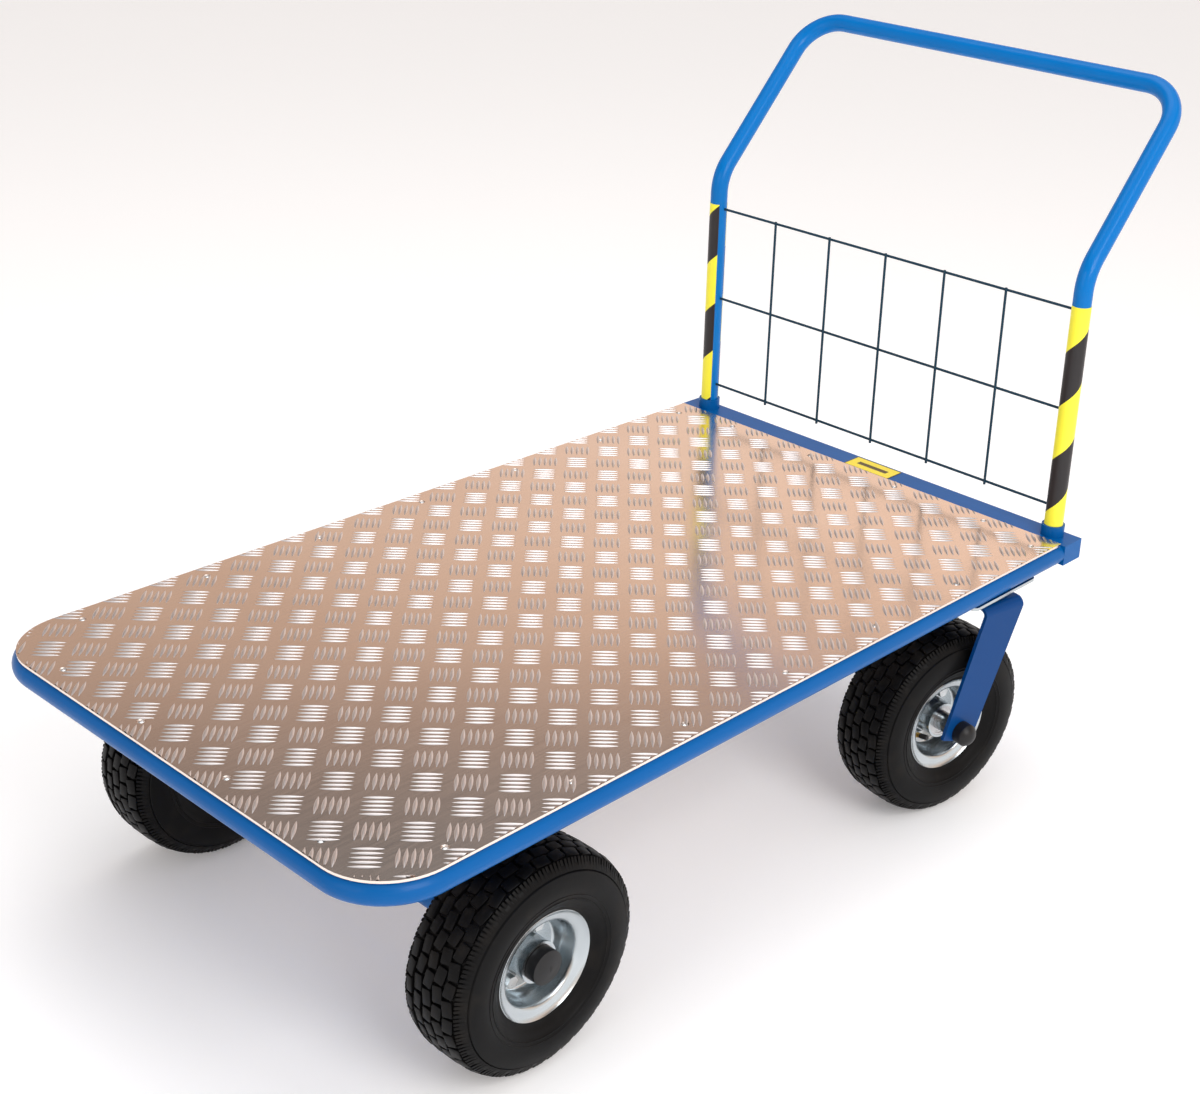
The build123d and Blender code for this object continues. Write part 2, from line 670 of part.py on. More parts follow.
half_width = tyre_width / 2
bead_x = rim_flange_x - seat_clearance
bead_radius = rim_seat_radius + seat_clearance
flange_top = rim_flange_radius + seat_clearance
crown_drop = 1.5
bead_chamfer = 2.0
tube_crown_gap = 2.0
tube_seat_gap = 4.0
tube_side_gap = 7.0
tube_top_radius = wheel_radius - tyre_wall - tube_crown_gap
tube_bottom_radius = rim_seat_radius + tube_seat_gap
tube_centre_radius = (tube_top_radius + tube_bottom_radius) / 2
tube_half_height = (tube_top_radius - tube_bottom_radius) / 2
tube_half_width = half_width - tyre_wall - tube_side_gap
valve_x = 15.0
valve_end_radius = 33.0
valve_bend_radius = 6.0
valve_angle = 26.0
bolt_start_angle = 55.0


def draw_rim_sheet(half):
    """Sketch the section of one rim pressing: lip, flange, bead seat, well and disc."""
    with BuildLine() as sheet_outline:
        outside = FilletPolyline(
            (half * rim_lip_x, rim_flange_radius),
            (half * rim_flange_x, rim_flange_radius),
            (half * rim_flange_x, rim_seat_radius),
            (half * rim_sheet * 3, rim_seat_radius - 1.5),
            (half * 0.1, rim_well_radius),
            (half * 0.1, hub_radius + weld_gap),
            radius=(3.2, 3, 5, 4),
        )
        offset(outside, amount=rim_sheet, side=Side.RIGHT if half < 0 else Side.LEFT)
    make_face(sheet_outline.edges())


for name, (centre, outward, valve_side) in wheels.items():
    wheel_axis = Axis(centre, outward)
    section_plane = Plane(origin=centre, x_dir=outward, z_dir=outward.cross(Vector(0, 0, 1)))
    face_plane = Plane(origin=centre, x_dir=Vector(0, 0, 1).cross(outward), z_dir=outward)

    # The casing is moulded rubber with a rounded tread and beads that sit on the rim.
    with BuildPart() as tyre:
        with BuildSketch(section_plane):
            with BuildLine():
                crown_edge = (half_width * 0.6, wheel_radius - crown_drop)
                tread = RadiusArc((0, wheel_radius), crown_edge, -sphere_radius(crown_edge[0], crown_drop))
                sidewall = Spline(
                    tread @ 1,
                    (half_width * 0.89, wheel_radius - 8),
                    (half_width, wheel_radius - 30),
                    (half_width * 0.93, wheel_radius - 54),
                    (bead_x + 5, flange_top + 1),
                    tangents=[tread % 1, (-0.7, -1)],
                )
                bead = Polyline(
                    sidewall @ 1,
                    (bead_x, flange_top),
                    (bead_x, bead_radius + bead_chamfer),
                    (bead_x - bead_chamfer, bead_radius),
                    (bead_x - tyre_wall, bead_radius),
                )
                lining = Spline(
                    bead @ 1,
                    (half_width * 0.6, bead_radius + 16),
                    (half_width - tyre_wall, wheel_radius - 34),
                    (half_width * 0.66, wheel_radius - tyre_wall - 3),
                    (0, wheel_radius - tyre_wall),
                    tangents=[(0.3, 1), (-1, 0)],
                )
                Line(lining @ 1, tread @ 0)
            make_face()
            mirror(about=Plane.YZ)
        revolve(axis=wheel_axis)
    save(tyre, f"tyre_{name}")

    # The inner tube's valve goes through the rim's well and bends outwards.
    radial = Vector(0, 0, 1).rotate(Axis((0, 0, 0), outward), 90 + valve_angle)
    valve_plane = Plane(origin=centre, x_dir=outward * valve_side, z_dir=(outward * valve_side).cross(radial))
    with BuildPart() as inner_tube:
        with BuildSketch(section_plane):
            with Locations((0, tube_centre_radius)):
                Ellipse(tube_half_width, tube_half_height)
        revolve(axis=wheel_axis)
        with BuildLine(valve_plane) as stem_path:
            FilletPolyline(
                (valve_x, tube_centre_radius - tube_half_height + 6),
                (valve_x, valve_end_radius + 4),
                (valve_reach_x, valve_end_radius),
                radius=valve_bend_radius,
            )
        with BuildSketch(Plane(origin=stem_path.line @ 0, z_dir=stem_path.line % 0)):
            Circle(valve_radius)
        sweep(path=stem_path.line)
    save(inner_tube, f"inner_tube_{name}")

    for half_name, half in (("outer", 1), ("inner", -1)):
        with BuildPart() as rim:
            with BuildSketch(section_plane):
                draw_rim_sheet(half)
            revolve(axis=wheel_axis)
            if half < 0:
                with BuildSketch(section_plane):
                    with Locations((0, hub_step_radius)):
                        hub_wall = hub_radius - hub_step_radius
                        Rectangle(2 * hub_half_length, hub_wall, align=(Align.CENTER, Align.MIN))
                    with Locations((hub_half_length, 0), (-hub_half_length, 0)):
                        seat_depth = 2 * (bearing_width + 2 * seat_clearance)
                        Rectangle(seat_depth, 2 * (bearing_radius + running_clearance), mode=Mode.SUBTRACT)
                    with Locations((-rim_sheet, hub_step_radius + hub_wall / 2)):
                        weld_height = hub_wall / 2 + 2 * weld_gap
                        Rectangle(rim_sheet - 0.1, weld_height, align=(Align.MIN, Align.MIN))
                revolve(axis=wheel_axis)
            with BuildSketch(face_plane):
                with PolarLocations(rim_bolt_circle_radius, rim_bolt_count, start_angle=bolt_start_angle):
                    Circle(rim_bolt_radius + weld_gap)
            extrude(amount=4 * rim_sheet, both=True, mode=Mode.SUBTRACT)
            if half == valve_side:
                valve_hole_plane = Plane(origin=centre + outward * half * valve_x, z_dir=radial)
                with BuildSketch(valve_hole_plane):
                    Circle(valve_radius + 2 * weld_gap)
                extrude(amount=rim_flange_radius, mode=Mode.SUBTRACT)
        save(rim, f"rim_{half_name}_{name}")

    # Sealed ball bearings, one at each end of the hub.
    bearing_outside = hub_half_length - seat_clearance
    with BuildPart() as bearings:
        for end in (1, -1):
            with BuildSketch(section_plane):
                with Locations((end * (bearing_outside - bearing_width / 2), axle_radius + running_clearance)):
                    ring_height = bearing_radius - axle_radius - running_clearance
                    Rectangle(bearing_width, ring_height, align=(Align.CENTER, Align.MIN))
                with Locations((end * bearing_outside, (axle_radius + bearing_radius) / 2)):
                    Rectangle(1.6, 5.5, mode=Mode.SUBTRACT)
            revolve(axis=wheel_axis)
    save(bearings, f"bearings_{name}")

    # Hexagon bolts and nuts clamp the two rim pressings together.
    disc_face = 0.1 + rim_sheet + weld_gap
    with BuildPart() as rim_bolts:
        with BuildSketch(face_plane.offset(disc_face)):
            with PolarLocations(rim_bolt_circle_radius, rim_bolt_count, start_angle=bolt_start_angle):
                RegularPolygon(rim_bolt_head_across_flats / 2, 6, major_radius=False)
        extrude(amount=rim_bolt_head_height)
        with BuildSketch(face_plane.offset(disc_face)):
            with PolarLocations(rim_bolt_circle_radius, rim_bolt_count, start_angle=bolt_start_angle):
                Circle(rim_bolt_radius)
        extrude(amount=-2 * disc_face - rim_nut_height - 1.5)
        with BuildSketch(face_plane.offset(-disc_face)):
            with PolarLocations(rim_bolt_circle_radius, rim_bolt_count, start_angle=bolt_start_angle):
                RegularPolygon(rim_bolt_head_across_flats / 2, 6, major_radius=False)
                Circle(rim_bolt_radius + running_clearance, mode=Mode.SUBTRACT)
        extrude(amount=-rim_nut_height)
    save(rim_bolts, f"rim_bolts_{name}")
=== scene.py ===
import json
from math import atan2, cos, pi, radians, sin, sqrt

import bmesh
import bpy
from mathutils import Matrix, Vector


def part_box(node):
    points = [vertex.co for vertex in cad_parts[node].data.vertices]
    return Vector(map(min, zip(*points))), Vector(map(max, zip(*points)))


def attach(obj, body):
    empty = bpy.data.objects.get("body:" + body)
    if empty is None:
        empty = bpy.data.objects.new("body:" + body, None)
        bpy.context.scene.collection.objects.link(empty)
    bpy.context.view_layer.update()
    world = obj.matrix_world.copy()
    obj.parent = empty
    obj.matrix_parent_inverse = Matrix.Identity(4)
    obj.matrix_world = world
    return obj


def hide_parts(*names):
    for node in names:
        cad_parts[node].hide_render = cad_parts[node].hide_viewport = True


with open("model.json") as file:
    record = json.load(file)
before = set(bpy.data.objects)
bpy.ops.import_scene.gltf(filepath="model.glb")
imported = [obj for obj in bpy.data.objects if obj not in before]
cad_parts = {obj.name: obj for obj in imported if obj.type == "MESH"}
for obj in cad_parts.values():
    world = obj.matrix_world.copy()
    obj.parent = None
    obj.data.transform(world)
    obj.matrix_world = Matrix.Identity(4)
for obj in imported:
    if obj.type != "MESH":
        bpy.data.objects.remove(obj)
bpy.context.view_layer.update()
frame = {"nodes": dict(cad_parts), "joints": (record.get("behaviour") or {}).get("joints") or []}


# ---- Deck frame
# The cart stands on a bent steel tube with a box rail across its back, channels and ledges
# under the plate and plates for the axle. It is all welded up, then powder coated blue in one
# go, so the coat is one skin with a faint orange peel and a glossy top.
def linear(colour):
    """Turn an sRGB hex colour into the linear values that a shader takes."""
    parts = [int(colour[i : i + 2], 16) / 255 for i in (1, 3, 5)]
    return tuple(p / 12.92 if p <= 0.04045 else ((p + 0.055) / 1.055) ** 2.4 for p in parts) + (1.0,)


def add(finish, kind, inputs=(), **settings):
    """Add one node to a finish, with its settings, its values and its links."""
    node = finish.node_tree.nodes.new(kind)
    for name, value in settings.items():
        setattr(node, name, value)
    for name, value in dict(inputs).items():
        if isinstance(value, bpy.types.NodeSocket):
            finish.node_tree.links.new(value, node.inputs[name])
        else:
            node.inputs[name].default_value = value
    return node


def start_finish(name):
    """Start an empty finish and give it with the place of each point on the cart."""
    finish = bpy.data.materials.new(name)
    finish.use_nodes = True
    finish.node_tree.nodes.clear()
    return finish, add(finish, "ShaderNodeTexCoord").outputs["Object"]


def shade(finish, **inputs):
    """Close a finish with its surface shader."""
    named = {key.replace("_", " "): value for key, value in inputs.items()}
    surface = add(finish, "ShaderNodeBsdfPrincipled", named)
    add(finish, "ShaderNodeOutputMaterial", {"Surface": surface.outputs["BSDF"]})
    return finish


def coat(finish, *names):
    """Give a finish to parts of the frame model that keep their shape."""
    for name in names:
        part = frame["nodes"][name].data
        part.materials.clear()
        part.materials.append(finish)


def powder_coat(name, colour, thin_colour, gloss):
    """Polyester powder on steel: even colour, a dielectric gloss and orange peel 4 mm wide."""
    finish, place = start_finish(name)
    drift = add(finish, "ShaderNodeTexNoise", {"Vector": place, "Scale": 9.0, "Detail": 3.0})
    speck = add(finish, "ShaderNodeTexNoise", {"Vector": place, "Scale": 260.0, "Detail": 2.0})
    tints = {"Factor": drift.outputs["Fac"], "A": linear(colour), "B": linear(thin_colour)}
    tint = add(finish, "ShaderNodeMix", tints, data_type="RGBA")
    tint_colour = next(s for s in tint.outputs if s.type == "RGBA")
    rough = add(finish, "ShaderNodeMapRange", {"Value": drift.outputs["Fac"], "To Min": gloss, "To Max": gloss + 0.1})
    peel = add(finish, "ShaderNodeBump", {"Height": speck.outputs["Fac"], "Strength": 0.12, "Distance": 0.0004})
    return shade(
        finish,
        Base_Color=tint_colour,
        Roughness=rough.outputs["Result"],
        Normal=peel.outputs["Normal"],
        Specular_IOR_Level=0.14,
        Coat_Weight=0.06,
        Coat_Roughness=0.06,
        IOR=1.5,
    )


frame_paint = powder_coat("blue_powder_coat", "#005EA6", "#005496", 0.3)
coat(frame_paint, "frame_tube", "rear_rail", "rail_end_plates", "side_ledges", "end_ledges")
coat(frame_paint, "caster_channels", "axle_channels")
coat(frame_paint, "middle_crossmember", "handle_sockets", "axle_hanger_left", "axle_hanger_right", "axle_sleeve")

# ---- Handle
# One length of 25 mm tube bent four times, coated the frame's blue, with a welded mesh of 3.6 mm wire between its
# posts. Its blue is set brighter than the frame's as painted light on the handle. It plugs into two sockets in the
# rear rail.
# Painted light: the handle's coat is the frame's blue, made brighter here.
handle_paint_with_painted_light = powder_coat("handle_blue_with_painted_light", "#0076C6", "#006AB6", 0.2)
coat(handle_paint_with_painted_light, "handle_tube")
wire_paint = powder_coat("blue_coated_wire", "#1C3C50", "#183444", 0.35)
coat(wire_paint, "mesh_panel")

# ---- Hazard tape
# Printed vinyl film is wrapped three quarters of the way round each post above its socket.
# The stripes climb round the post at 45 degrees, yellow and black in turn, and the post is
# left bare on the mesh's side.
tape_pitch = 0.150
stripe_start = 0.2
climb_per_radian = -0.0129
for side, name in ((1, "tape_left"), (-1, "tape_right")):
    low, high = (Vector(corner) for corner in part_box(name))
    tape_film, place = start_finish(f"hazard_film_{name}")
    post = add(tape_film, "ShaderNodeMapping", {"Vector": place, "Location": -(low + high) / 2})
    axes = add(tape_film, "ShaderNodeSeparateXYZ", {"Vector": post.outputs["Vector"]})
    x_turned = add(tape_film, "ShaderNodeMath", {0: axes.outputs["X"], 1: -float(side)}, operation="MULTIPLY")
    y_turned = add(tape_film, "ShaderNodeMath", {0: axes.outputs["Y"], 1: float(side)}, operation="MULTIPLY")
    around = add(tape_film, "ShaderNodeMath", {0: x_turned.outputs[0], 1: y_turned.outputs[0]}, operation="ARCTAN2")
    slant = {0: around.outputs[0], 1: climb_per_radian, 2: axes.outputs["Z"]}
    climb = add(tape_film, "ShaderNodeMath", slant, operation="MULTIPLY_ADD")
    counted = {0: climb.outputs[0], 1: 1 / tape_pitch, 2: stripe_start}
    turns = add(tape_film, "ShaderNodeMath", counted, operation="MULTIPLY_ADD")
    stripe = add(tape_film, "ShaderNodeMath", {0: turns.outputs[0], 1: 1.0}, operation="FLOORED_MODULO")
    band = add(tape_film, "ShaderNodeMath", {0: stripe.outputs[0], 1: 0.5}, operation="GREATER_THAN")
    scuff = add(tape_film, "ShaderNodeTexNoise", {"Vector": place, "Scale": 120.0, "Detail": 4.0})
    inks = {"Factor": band.outputs[0], "A": linear("#FBF43C"), "B": linear("#1C181B")}
    print_colour = add(tape_film, "ShaderNodeMix", inks, data_type="RGBA")
    film_colour = next(s for s in print_colour.outputs if s.type == "RGBA")
    film_gloss = add(tape_film, "ShaderNodeMapRange", {"Value": scuff.outputs["Fac"], "To Min": 0.28, "To Max": 0.5})
    scuffs = {"Height": scuff.outputs["Fac"], "Strength": 0.1, "Distance": 0.0003}
    film_bump = add(tape_film, "ShaderNodeBump", scuffs)
    film_rough, film_normal = film_gloss.outputs["Result"], film_bump.outputs["Normal"]
    shade(tape_film, Base_Color=film_colour, Roughness=film_rough, Normal=film_normal, IOR=1.49)
    coat(tape_film, name)

# ---- Tread plate
# The deck is 3 mm rolled aluminium plate, cropped with round front corners. Rolling leaves
# groups of five raised bars, each group turned a right angle from its neighbours, and the
# rows of groups run at 45 degrees to the plate's edges. Clean mill finish is almost a mirror.
def aluminium(name, colour, dull_colour, gloss):
    """Bare rolled aluminium: a metal with long faint roll marks along the cart and dull clouds."""
    finish, place = start_finish(name)
    rolled = add(finish, "ShaderNodeMapping", {"Vector": place, "Scale": (3.0, 180.0, 3.0)})
    marks = add(finish, "ShaderNodeTexNoise", {"Vector": rolled.outputs["Vector"], "Scale": 3.0, "Detail": 4.0})
    clouds = add(finish, "ShaderNodeTexNoise", {"Vector": place, "Scale": 4.5, "Detail": 3.0})
    tints = {"Factor": clouds.outputs["Fac"], "A": linear(colour), "B": linear(dull_colour)}
    tint = add(finish, "ShaderNodeMix", tints, data_type="RGBA")
    tint_colour = next(s for s in tint.outputs if s.type == "RGBA")
    dulling = {"Value": marks.outputs["Fac"], "To Min": gloss, "To Max": gloss + 0.12}
    rough = add(finish, "ShaderNodeMapRange", dulling)
    scratch = add(finish, "ShaderNodeBump", {"Height": marks.outputs["Fac"], "Strength": 0.06, "Distance": 0.0003})
    rough_value, normal = rough.outputs["Result"], scratch.outputs["Normal"]
    return shade(finish, Base_Color=tint_colour, Metallic=1.0, Roughness=rough_value, Normal=normal)


# Painted reflection: the deck plate's warm pink-tan metal colour stands in for a warm room reflected in the bare
# aluminium.
coat(aluminium("mill_aluminium_with_painted_reflection", "#F6EAE2", "#E6D4C8", 0.13), "deck_plate")
coat(aluminium("rivet_aluminium", "#EDEDEE", "#D2D4D6", 0.22), "deck_rivets")

bar_length, bar_width, bar_height = 0.033, 0.0046, 0.0012
bar_pitch, group_pitch = 0.0074, 0.0443


def keep_mesh(shape, name, finish, crease=0.7):
    """Turn a finished bmesh into a named piece with soft faces and sharp edges where it folds."""
    for edge in shape.edges:
        edge.smooth = len(edge.link_faces) == 2 and edge.calc_face_angle(0) < crease
    for face in shape.faces:
        face.smooth = True
    mesh = bpy.data.meshes.new(name)
    shape.to_mesh(mesh)
    shape.free()
    mesh.materials.append(finish)
    piece = bpy.data.objects.new(name, mesh)
    bpy.context.scene.collection.objects.link(piece)
    return piece


group = bmesh.new()
for place_in_group in range(-2, 3):
    bar = bmesh.ops.create_grid(group, x_segments=8, y_segments=4, size=1.0)["verts"]
    for v in bar:
        swell = 1 - v.co.x**2
        rise = bar_height * swell * (1 - v.co.y**2)
        v.co = Vector((v.co.x * bar_length / 2, v.co.y * bar_width / 2 * swell, rise))
    bmesh.ops.translate(group, verts=bar, vec=(0, place_in_group * bar_pitch, 0))
bmesh.ops.remove_doubles(group, verts=group.verts, dist=0.00005)
group_mesh = bpy.data.meshes.new("bar_group")
group.to_mesh(group_mesh)
group.free()

plate_low, plate_high = (Vector(corner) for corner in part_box("deck_plate"))
corner_radius, overhang, edge_gap = 0.080, 0.020, 0.001
plate_half = (plate_high.x - plate_low.x) / 2
corner_x, corner_y = plate_high.x - corner_radius, plate_high.y - corner_radius
bars = bmesh.new()
reach = int((plate_high.x - plate_low.x) / group_pitch)
for i in range(-reach, reach + 1):
    for j in range(-reach, reach + 1):
        along = (i - j) * group_pitch / sqrt(2)
        across = (i + j) * group_pitch / sqrt(2)
        centre = Vector((plate_low.x + plate_half + along, across, plate_high.z))
        if abs(along) > plate_half + overhang or abs(across) > plate_high.y + overhang:
            continue
        turn = Matrix.Rotation(pi / 4 + (pi / 2 if (i + j) % 2 else 0), 4, "Z")
        placed = group_mesh.copy()
        placed.transform(Matrix.Translation(centre) @ turn)
        bars.from_mesh(placed)
        bpy.data.meshes.remove(placed)
for point, normal in (
    ((plate_high.x - edge_gap, 0, 0), (1, 0, 0)),
    ((plate_low.x + edge_gap, 0, 0), (-1, 0, 0)),
    ((0, plate_high.y - edge_gap, 0), (0, 1, 0)),
    ((0, plate_low.y + edge_gap, 0), (0, -1, 0)),
):
    everything = bars.verts[:] + bars.edges[:] + bars.faces[:]
    bmesh.ops.bisect_plane(bars, geom=everything, plane_co=point, plane_no=normal, clear_outer=True)
outside = []
for v in bars.verts:
    past_x, past_y = v.co.x - corner_x, abs(v.co.y) - corner_y
    if past_x > 0 and past_y > 0 and Vector((past_x, past_y)).length > corner_radius - edge_gap:
        outside.append(v)
bmesh.ops.delete(bars, geom=outside, context="VERTS")
bmesh.ops.recalc_face_normals(bars, faces=bars.faces)
for face in bars.faces:
    if face.normal.z < 0:
        face.normal_flip()
tread_bars = keep_mesh(bars, "tread_bars", aluminium("bar_aluminium", "#DCD6D6", "#CFC8C6", 0.26))
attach(tread_bars, "deck")

# ---- Load label
# A rectangle of yellow printed film on top of the rear rail. Only a plain border and one
# blank panel are printed on it.
label_low, label_high = (Vector(corner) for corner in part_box("load_label"))
label_film, place = start_finish("label_film")
to_middle = -(label_low + label_high) / 2
label_place = add(label_film, "ShaderNodeMapping", {"Vector": place, "Location": to_middle})
label_axes = add(label_film, "ShaderNodeSeparateXYZ", {"Vector": label_place.outputs["Vector"]})
label_x = add(label_film, "ShaderNodeMath", {0: label_axes.outputs["X"]}, operation="ABSOLUTE")
label_y = add(label_film, "ShaderNodeMath", {0: label_axes.outputs["Y"]}, operation="ABSOLUTE")
panel_half_x, panel_half_y, border_width = 0.0045, 0.026, 0.0015
border_start = (label_high - label_low) / 2 - Vector((border_width, border_width, 0))
panel_x = add(label_film, "ShaderNodeMath", {0: label_x.outputs[0], 1: panel_half_x}, operation="LESS_THAN")
panel_y = add(label_film, "ShaderNodeMath", {0: label_y.outputs[0], 1: panel_half_y}, operation="LESS_THAN")
panel = add(label_film, "ShaderNodeMath", {0: panel_x.outputs[0], 1: panel_y.outputs[0]}, operation="MULTIPLY")
border_x = add(label_film, "ShaderNodeMath", {0: label_x.outputs[0], 1: border_start.x}, operation="GREATER_THAN")
border_y = add(label_film, "ShaderNodeMath", {0: label_y.outputs[0], 1: border_start.y}, operation="GREATER_THAN")
border = add(label_film, "ShaderNodeMath", {0: border_x.outputs[0], 1: border_y.outputs[0]}, operation="MAXIMUM")
ink = add(label_film, "ShaderNodeMath", {0: panel.outputs[0], 1: border.outputs[0]}, operation="MAXIMUM")
label_inks = {"Factor": ink.outputs[0], "A": linear("#F8E23A"), "B": linear("#4C3E12")}
label_print = add(label_film, "ShaderNodeMix", label_inks, data_type="RGBA")
label_colour = next(s for s in label_print.outputs if s.type == "RGBA")
shade(label_film, Base_Color=label_colour, Roughness=0.32, IOR=1.49)
coat(label_film, "load_label")

# ---- Casters and axles
# Each caster is a fork bent from 5 mm plate, coated blue, hung on a kingpin under a zinc
# plated top plate. Zinc plate is a thin bright metal skin with faint cloudy spangle.
# Painted shade: the forks carry the frame's blue coat, set darker here for the shade of the deck above them.
fork_paint_with_painted_shade = powder_coat("fork_blue_with_painted_shade", "#00407E", "#003A74", 0.34)
coat(fork_paint_with_painted_shade, "fork_left", "fork_right")


def zinc_plate(name, colour, dull_colour, gloss, grain):
    """Bright zinc plate on steel: a bluish metal with a faint spangle, grain cells to the metre."""
    finish, place = start_finish(name)
    spangle = add(finish, "ShaderNodeTexVoronoi", {"Vector": place, "Scale": grain}, feature="SMOOTH_F1")
    clouds = add(finish, "ShaderNodeTexNoise", {"Vector": place, "Scale": grain / 4, "Detail": 4.0})
    tints = {"Factor": clouds.outputs["Fac"], "A": linear(colour), "B": linear(dull_colour)}
    tint = add(finish, "ShaderNodeMix", tints, data_type="RGBA")
    tint_colour = next(s for s in tint.outputs if s.type == "RGBA")
    dulling = {"Value": clouds.outputs["Fac"], "To Min": gloss, "To Max": gloss + 0.14}
    rough = add(finish, "ShaderNodeMapRange", dulling)
    spangles = {"Height": spangle.outputs["Distance"], "Strength": 0.035, "Distance": 0.0005}
    waves = add(finish, "ShaderNodeBump", spangles)
    rough_value, normal = rough.outputs["Result"], waves.outputs["Normal"]
    return shade(finish, Base_Color=tint_colour, Metallic=1.0, Roughness=rough_value, Normal=normal)


zinc = zinc_plate("bright_zinc_plate", "#C9D0D4", "#ABB2B6", 0.16, 70.0)
fastener_zinc = zinc_plate("fastener_zinc", "#DADDDF", "#B9BDBE", 0.22, 240.0)
coat(zinc, "caster_plate_left", "caster_plate_right", "front_axle_spacers")
coat(zinc, "caster_spacers_left", "caster_spacers_right")
coat(fastener_zinc, "kingpin_left", "kingpin_right", "caster_axle_left", "caster_axle_right", "front_axle")
ground_steel = zinc_plate("ground_bearing_steel", "#CFCFD0", "#A9AAAC", 0.18, 400.0)
coat(ground_steel, "swivel_balls_left", "swivel_balls_right")

# ---- Axle caps
# Push-on caps of black moulded plastic close the axle ends. The moulding leaves a fine
# grained skin with a low gloss.
cap_plastic, place = start_finish("black_moulded_cap")
cap_grain = add(cap_plastic, "ShaderNodeTexNoise", {"Vector": place, "Scale": 420.0, "Detail": 2.0})
cap_gloss = add(cap_plastic, "ShaderNodeMapRange", {"Value": cap_grain.outputs["Fac"], "To Min": 0.34, "To Max": 0.5})
cap_skin = {"Height": cap_grain.outputs["Fac"], "Strength": 0.2, "Distance": 0.0003}
cap_bump = add(cap_plastic, "ShaderNodeBump", cap_skin)
shade(
    cap_plastic,
    Base_Color=linear("#141416"),
    Roughness=cap_gloss.outputs["Result"],
    Normal=cap_bump.outputs["Normal"],
    Specular_IOR_Level=0.35,
    IOR=1.5,
)
coat(cap_plastic, "front_axle_caps", "caster_caps_left", "caster_caps_right")

# ---- Tyres
# Four equal cross-ply tyres of black rubber. The mould leaves staggered tread blocks on the
# crown, a band of fine ribs round each shoulder, a groove below it and a smooth sidewall
# with raised rings near the rim. Dust dulls the rubber in small patches.
tyre_rubber, place = start_finish("moulded_tyre_rubber")
rubber_skin = add(tyre_rubber, "ShaderNodeTexNoise", {"Vector": place, "Scale": 340.0, "Detail": 3.0})
dust = add(tyre_rubber, "ShaderNodeTexNoise", {"Vector": place, "Scale": 38.0, "Detail": 5.0})
dust_start, dust_full, most_dust = 0.52, 0.75, 0.6
dusting = {"Value": dust.outputs["Fac"], "From Min": dust_start, "From Max": dust_full, "To Max": most_dust}
dust_edge = add(tyre_rubber, "ShaderNodeMapRange", dusting)
rubber_tints = {"Factor": dust_edge.outputs["Result"], "A": linear("#080809"), "B": linear("#1C1916")}
rubber_tint = add(tyre_rubber, "ShaderNodeMix", rubber_tints, data_type="RGBA")
rubber_colour = next(s for s in rubber_tint.outputs if s.type == "RGBA")
rubber_gloss = add(tyre_rubber, "ShaderNodeMapRange", {"Value": dust.outputs["Fac"], "To Min": 0.34, "To Max": 0.56})
rubber_grain = {"Height": rubber_skin.outputs["Fac"], "Strength": 0.16, "Distance": 0.0004}
rubber_bump = add(tyre_rubber, "ShaderNodeBump", rubber_grain)
shade(
    tyre_rubber,
    Base_Color=rubber_colour,
    Roughness=rubber_gloss.outputs["Result"],
    Normal=rubber_bump.outputs["Normal"],
    Specular_IOR_Level=0.12,
    IOR=1.5,
)

tyre_radius = (Vector(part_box("tyre_front_left")[1]).z - Vector(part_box("tyre_front_left")[0]).z) / 2
tyre_half = 0.049
groove_depth = 0.0045
half_section = (
    (0.000, tyre_radius - groove_depth),
    (0.020, tyre_radius - groove_depth - 0.0006),
    (0.031, tyre_radius - groove_depth - 0.0018),
    (0.037, tyre_radius - groove_depth - 0.0040),
    (0.0410, 0.1195),
    (0.0436, 0.1160),
    (0.0448, 0.1132),
    (0.0440, 0.1124),
    (0.0462, 0.1114),
    (0.0477, 0.1060),
    (0.0487, 0.1000),
    (tyre_half, 0.0945),
    (0.0487, 0.0900),
    (0.0482, 0.0868),
    (0.0487, 0.0862),
    (0.0480, 0.0856),
    (0.0474, 0.0820),
    (0.0479, 0.0813),
    (0.0470, 0.0807),
    (0.0452, 0.0760),
    (0.0420, 0.0710),
    (0.0388, 0.0675),
    (0.0385, 0.0648),
    (0.0327, 0.0646),
    (0.0327, 0.0533),
    (0.0307, 0.0513),
    (0.0240, 0.0513),
    (0.0300, 0.0680),
    (0.0400, 0.0950),
    (0.0320, 0.1160),
    (0.0000, 0.1205),
)
tyre = bmesh.new()
right_side = [tyre.verts.new((x, 0, r)) for x, r in half_section]
left_side = [tyre.verts.new((-x, 0, r)) for x, r in half_section[1:-1]]
ring = right_side + left_side[::-1]
for start, end in zip(ring, ring[1:] + ring[:1]):
    tyre.edges.new((start, end))
full_turn = {"cent": (0, 0, 0), "axis": (1, 0, 0), "angle": 2 * pi, "use_merge": True}
bmesh.ops.spin(tyre, geom=tyre.verts[:] + tyre.edges[:], steps=112, **full_turn)
bmesh.ops.remove_doubles(tyre, verts=tyre.verts, dist=0.00002)
bmesh.ops.recalc_face_normals(tyre, faces=tyre.faces)

